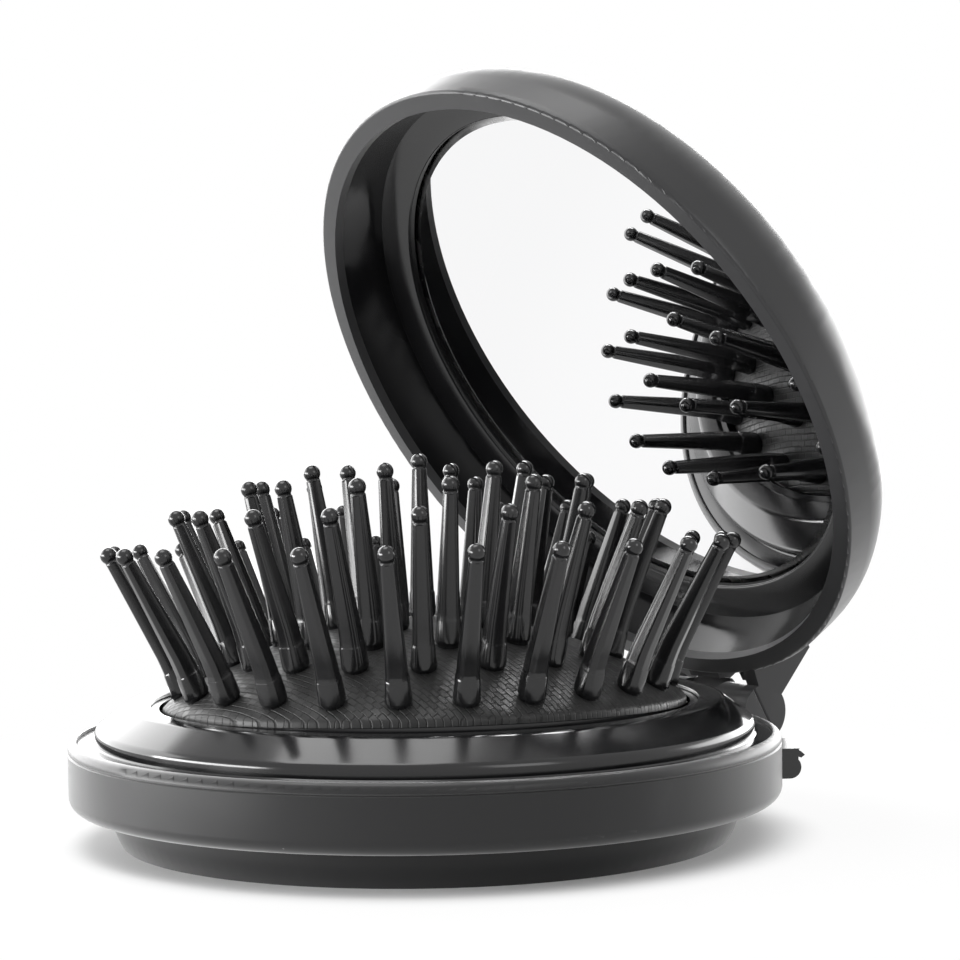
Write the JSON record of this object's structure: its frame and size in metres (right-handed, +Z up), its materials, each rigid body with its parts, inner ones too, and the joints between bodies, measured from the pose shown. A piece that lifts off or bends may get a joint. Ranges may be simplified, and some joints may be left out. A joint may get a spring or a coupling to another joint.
{
  "type": "folding hairbrush with mirror",
  "caption": "Round compact hairbrush that folds flat: a hinged lid with an inset mirror closes over a rubber pad of bristle pins, which rises out of the base as the lid opens.",
  "frame": {"origin": "centre of the underside of the base, on the surface it stands on", "axes": "+Z up, +Y from the centre of the base to the hinge, +X along the hinge axis"},
  "size_m": [0.075, 0.0859, 0.0809],
  "materials": {
    "satin_grey": "satin moulded",
    "satin_black": "satin, faintly brushed",
    "gloss_black": "polished",
    "button_black": "satin",
    "matte_black": "fine matte texture",
    "pin_black": "smooth moulded nylon",
    "rubber_black": "matte, fine woven texture",
    "mirror_silver": "silvered glass",
    "foam_tape": "matte foam",
    "steel": "plain"
  },
  "bodies": {
    "base": {"base_ring": "satin_grey", "bottom_cover": "matte_black", "bezel": "gloss_black", "bezel_screws": "steel", "hinge_block": "satin_grey", "hinge_spring": "steel", "button_spring": "steel", "bail_spring": "steel"},
    "lid": {"lid_shell": "satin_black", "mirror_frame": "gloss_black", "mirror": "mirror_silver", "mirror_pad": "foam_tape", "hinge_pin": "steel"},
    "button": {"side_button": "button_black"},
    "pad": {"pad_frame": "gloss_black"},
    "dome": {"dome_hoop": "gloss_black", "rubber_dome": "rubber_black"},
    "bail": {"lift_bail": "steel"},
    "pins_outer_01": {"pins_outer_01": "pin_black"},
    "pins_outer_02": {"pins_outer_02": "pin_black"},
    "pins_outer_03": {"pins_outer_03": "pin_black"},
    "pins_outer_04": {"pins_outer_04": "pin_black"},
    "pins_outer_05": {"pins_outer_05": "pin_black"},
    "pins_outer_06": {"pins_outer_06": "pin_black"},
    "pins_outer_07": {"pins_outer_07": "pin_black"},
    "pins_outer_08": {"pins_outer_08": "pin_black"},
    "pins_outer_09": {"pins_outer_09": "pin_black"},
    "pins_outer_10": {"pins_outer_10": "pin_black"},
    "pins_outer_11": {"pins_outer_11": "pin_black"},
    "pins_outer_12": {"pins_outer_12": "pin_black"},
    "pins_middle_01": {"pins_middle_01": "pin_black"},
    "pins_middle_02": {"pins_middle_02": "pin_black"},
    "pins_middle_03": {"pins_middle_03": "pin_black"},
    "pins_middle_04": {"pins_middle_04": "pin_black"},
    "pins_middle_05": {"pins_middle_05": "pin_black"},
    "pins_middle_06": {"pins_middle_06": "pin_black"},
    "pins_middle_07": {"pins_middle_07": "pin_black"},
    "pins_middle_08": {"pins_middle_08": "pin_black"},
    "pins_middle_09": {"pins_middle_09": "pin_black"},
    "pins_inner_01": {"pins_inner_01": "pin_black"},
    "pins_inner_02": {"pins_inner_02": "pin_black"},
    "pins_inner_03": {"pins_inner_03": "pin_black"},
    "pins_inner_04": {"pins_inner_04": "pin_black"},
    "pins_inner_05": {"pins_inner_05": "pin_black"},
    "pins_inner_06": {"pins_inner_06": "pin_black"},
    "pins_core": {"pins_core": "pin_black"},
    "pin_centre": {"pin_centre": "pin_black"}
  },
  "joints": [
    {"name": "lid_hinge", "type": "hinge", "parent": "base", "child": "lid", "pos_m": [0, 0.0413, 0.0099], "axis": [-1, 0, 0], "range_deg": [-59.2, 0], "deforming": ["rubber_dome", "bail_spring"]},
    {"name": "pad_lift", "type": "slide", "parent": "base", "child": "pad", "axis": [0, 0, 1], "range_m": [-0.0114, 0]},
    {"name": "pad_rock", "type": "hinge", "parent": "pad", "child": "dome", "pos_m": [0, 0, 0.0132], "axis": [-0.4659, -0.8848, 0], "range_deg": [-3, 0]},
    {"name": "bail_swing", "type": "hinge", "parent": "base", "child": "bail", "pos_m": [0, 0.0326, 0.00715], "axis": [-1, 0, 0], "range_deg": [-20.14, 0]},
    {"name": "button_press", "type": "slide", "parent": "base", "child": "button", "axis": [-0.5519, -0.8339, 0], "range_m": [0, 0.001], "stiffness_N_per_m": 600, "springref_m": -0.0005, "deforming": ["button_spring"]},
    {"name": "fold_outer_01", "type": "hinge", "parent": "dome", "child": "pins_outer_01", "pos_m": [0.03107, 0.00487, 0.01577], "axis": [-0.1523, 0.9878, -0.0312], "range_deg": [-27.5, 0]},
    {"name": "fold_outer_02", "type": "hinge", "parent": "dome", "child": "pins_outer_02", "pos_m": [0.0245, 0.0198, 0.01511], "axis": [-0.6255, 0.7788, -0.048], "range_deg": [-27.5, 0]},
    {"name": "fold_outer_03", "type": "hinge", "parent": "dome", "child": "pins_outer_03", "pos_m": [0.01135, 0.02943, 0.01426], "axis": [-0.9311, 0.361, -0.052], "range_deg": [-27.5, 0]},
    {"name": "fold_outer_04", "type": "hinge", "parent": "dome", "child": "pins_outer_04", "pos_m": [-0.00486, 0.03118, 0.01346], "axis": [-0.9873, -0.1535, -0.042], "range_deg": [-27.5, 0]},
    {"name": "fold_outer_05", "type": "hinge", "parent": "dome", "child": "pins_outer_05", "pos_m": [-0.01978, 0.02459, 0.01293], "axis": [-0.7789, -0.6269, -0.0208], "range_deg": [-27.5, 0]},
    {"name": "fold_outer_06", "type": "hinge", "parent": "dome", "child": "pins_outer_06", "pos_m": [-0.02942, 0.01141, 0.01281], "axis": [-0.3618, -0.9323, 0.006], "range_deg": [-27.5, 0]},
    {"name": "fold_outer_07", "type": "hinge", "parent": "dome", "child": "pins_outer_07", "pos_m": [-0.03119, -0.00481, 0.01312], "axis": [0.1523, -0.9878, 0.0312], "range_deg": [-27.5, 0]},
    {"name": "fold_outer_08", "type": "hinge", "parent": "dome", "child": "pins_outer_08", "pos_m": [-0.02462, -0.01974, 0.01379], "axis": [0.6255, -0.7788, 0.048], "range_deg": [-27.5, 0]},
    {"name": "fold_outer_09", "type": "hinge", "parent": "dome", "child": "pins_outer_09", "pos_m": [-0.01147, -0.02937, 0.01464], "axis": [0.9311, -0.361, 0.052], "range_deg": [-27.5, 0]},
    {"name": "fold_outer_10", "type": "hinge", "parent": "dome", "child": "pins_outer_10", "pos_m": [0.00474, -0.03112, 0.01543], "axis": [0.9873, 0.1535, 0.042], "range_deg": [-27.5, 0]},
    {"name": "fold_outer_11", "type": "hinge", "parent": "dome", "child": "pins_outer_11", "pos_m": [0.01967, -0.02453, 0.01596], "axis": [0.7789, 0.6269, 0.0208], "range_deg": [-27.5, 0]},
    {"name": "fold_outer_12", "type": "hinge", "parent": "dome", "child": "pins_outer_12", "pos_m": [0.0293, -0.01135, 0.01609], "axis": [0.3618, 0.9323, -0.006], "range_deg": [-27.5, 0]},
    {"name": "fold_middle_01", "type": "hinge", "parent": "dome", "child": "pins_middle_01", "pos_m": [0.03312, 0.00716, 0.01726], "axis": [-0.2071, 0.9777, -0.0335], "range_deg": [-23.5, 0]},
    {"name": "fold_middle_02", "type": "hinge", "parent": "dome", "child": "pins_middle_02", "pos_m": [0.02081, 0.02688, 0.01621], "axis": [-0.7868, 0.615, -0.0515], "range_deg": [-23.5, 0]},
    {"name": "fold_middle_03", "type": "hinge", "parent": "dome", "child": "pins_middle_03", "pos_m": [-0.00129, 0.03406, 0.01501], "axis": [-0.9983, -0.0355, -0.0454], "range_deg": [-23.5, 0]},
    {"name": "fold_middle_04", "type": "hinge", "parent": "dome", "child": "pins_middle_04", "pos_m": [-0.02285, 0.02533, 0.01423], "axis": [-0.7427, -0.6694, -0.0181], "range_deg": [-23.5, 0]},
    {"name": "fold_middle_05", "type": "hinge", "parent": "dome", "child": "pins_middle_05", "pos_m": [-0.03378, 0.00478, 0.01422], "axis": [-0.1396, -0.9901, 0.0177], "range_deg": [-23.5, 0]},
    {"name": "fold_middle_06", "type": "hinge", "parent": "dome", "child": "pins_middle_06", "pos_m": [-0.02896, -0.01798, 0.015], "axis": [0.5289, -0.8475, 0.0452], "range_deg": [-23.5, 0]},
    {"name": "fold_middle_07", "type": "hinge", "parent": "dome", "child": "pins_middle_07", "pos_m": [-0.01065, -0.03229, 0.0162], "axis": [0.9499, -0.3084, 0.0516], "range_deg": [-23.5, 0]},
    {"name": "fold_middle_08", "type": "hinge", "parent": "dome", "child": "pins_middle_08", "pos_m": [0.01259, -0.03146, 0.01726], "axis": [0.9264, 0.375, 0.0338], "range_deg": [-23.5, 0]},
    {"name": "fold_middle_09", "type": "hinge", "parent": "dome", "child": "pins_middle_09", "pos_m": [0.02987, -0.01588, 0.01768], "axis": [0.4695, 0.8829, 0.0002], "range_deg": [-23.5, 0]},
    {"name": "fold_inner_01", "type": "hinge", "parent": "dome", "child": "pins_inner_01", "pos_m": [0.0487, 0.01498, 0.0188], "axis": [-0.2898, 0.9564, -0.0368], "range_deg": [-12.5, 0]},
    {"name": "fold_inner_02", "type": "hinge", "parent": "dome", "child": "pins_inner_02", "pos_m": [0.01143, 0.04988, 0.01622], "axis": [-0.9728, 0.226, -0.0506], "range_deg": [-12.5, 0]},
    {"name": "fold_inner_03", "type": "hinge", "parent": "dome", "child": "pins_inner_03", "pos_m": [-0.03744, 0.03499, 0.01431], "axis": [-0.683, -0.7303, -0.0138], "range_deg": [-12.5, 0]},
    {"name": "fold_inner_04", "type": "hinge", "parent": "dome", "child": "pins_inner_04", "pos_m": [-0.04904, -0.0148, 0.01499], "axis": [0.2898, -0.9564, 0.0368], "range_deg": [-12.5, 0]},
    {"name": "fold_inner_05", "type": "hinge", "parent": "dome", "child": "pins_inner_05", "pos_m": [-0.01177, -0.0497, 0.01757], "axis": [0.9728, -0.226, 0.0506], "range_deg": [-12.5, 0]},
    {"name": "fold_inner_06", "type": "hinge", "parent": "dome", "child": "pins_inner_06", "pos_m": [0.0371, -0.03481, 0.01947], "axis": [0.683, 0.7303, 0.0138], "range_deg": [-12.5, 0]},
    {"name": "core_sink", "type": "slide", "parent": "dome", "child": "pins_core", "axis": [-0.0463, 0.0244, 0.9986], "range_m": [-0.0097, 0]},
    {"name": "centre_sink", "type": "slide", "parent": "dome", "child": "pin_centre", "axis": [-0.0463, 0.0244, 0.9986], "range_m": [-0.01015, 0]}
  ],
  "couplings": [
    {"joint": "pad_lift", "follows": "lid_hinge", "m_per_rad": 0.011033},
    {"joint": "pad_rock", "follows": "lid_hinge", "ratio": 0.050675},
    {"joint": "bail_swing", "follows": "lid_hinge", "ratio": 0.3402},
    {"joint": "fold_outer_01", "follows": "lid_hinge", "ratio": 0.46453},
    {"joint": "fold_outer_02", "follows": "lid_hinge", "ratio": 0.46453},
    {"joint": "fold_outer_03", "follows": "lid_hinge", "ratio": 0.46453},
    {"joint": "fold_outer_04", "follows": "lid_hinge", "ratio": 0.46453},
    {"joint": "fold_outer_05", "follows": "lid_hinge", "ratio": 0.46453},
    {"joint": "fold_outer_06", "follows": "lid_hinge", "ratio": 0.46453},
    {"joint": "fold_outer_07", "follows": "lid_hinge", "ratio": 0.46453},
    {"joint": "fold_outer_08", "follows": "lid_hinge", "ratio": 0.46453},
    {"joint": "fold_outer_09", "follows": "lid_hinge", "ratio": 0.46453},
    {"joint": "fold_outer_10", "follows": "lid_hinge", "ratio": 0.46453},
    {"joint": "fold_outer_11", "follows": "lid_hinge", "ratio": 0.46453},
    {"joint": "fold_outer_12", "follows": "lid_hinge", "ratio": 0.46453},
    {"joint": "fold_middle_01", "follows": "lid_hinge", "ratio": 0.39696},
    {"joint": "fold_middle_02", "follows": "lid_hinge", "ratio": 0.39696},
    {"joint": "fold_middle_03", "follows": "lid_hinge", "ratio": 0.39696},
    {"joint": "fold_middle_04", "follows": "lid_hinge", "ratio": 0.39696},
    {"joint": "fold_middle_05", "follows": "lid_hinge", "ratio": 0.39696},
    {"joint": "fold_middle_06", "follows": "lid_hinge", "ratio": 0.39696},
    {"joint": "fold_middle_07", "follows": "lid_hinge", "ratio": 0.39696},
    {"joint": "fold_middle_08", "follows": "lid_hinge", "ratio": 0.39696},
    {"joint": "fold_middle_09", "follows": "lid_hinge", "ratio": 0.39696},
    {"joint": "fold_inner_01", "follows": "lid_hinge", "ratio": 0.21115},
    {"joint": "fold_inner_02", "follows": "lid_hinge", "ratio": 0.21115},
    {"joint": "fold_inner_03", "follows": "lid_hinge", "ratio": 0.21115},
    {"joint": "fold_inner_04", "follows": "lid_hinge", "ratio": 0.21115},
    {"joint": "fold_inner_05", "follows": "lid_hinge", "ratio": 0.21115},
    {"joint": "fold_inner_06", "follows": "lid_hinge", "ratio": 0.21115},
    {"joint": "core_sink", "follows": "lid_hinge", "m_per_rad": 0.0093879},
    {"joint": "centre_sink", "follows": "lid_hinge", "m_per_rad": 0.0098235}
  ]
}
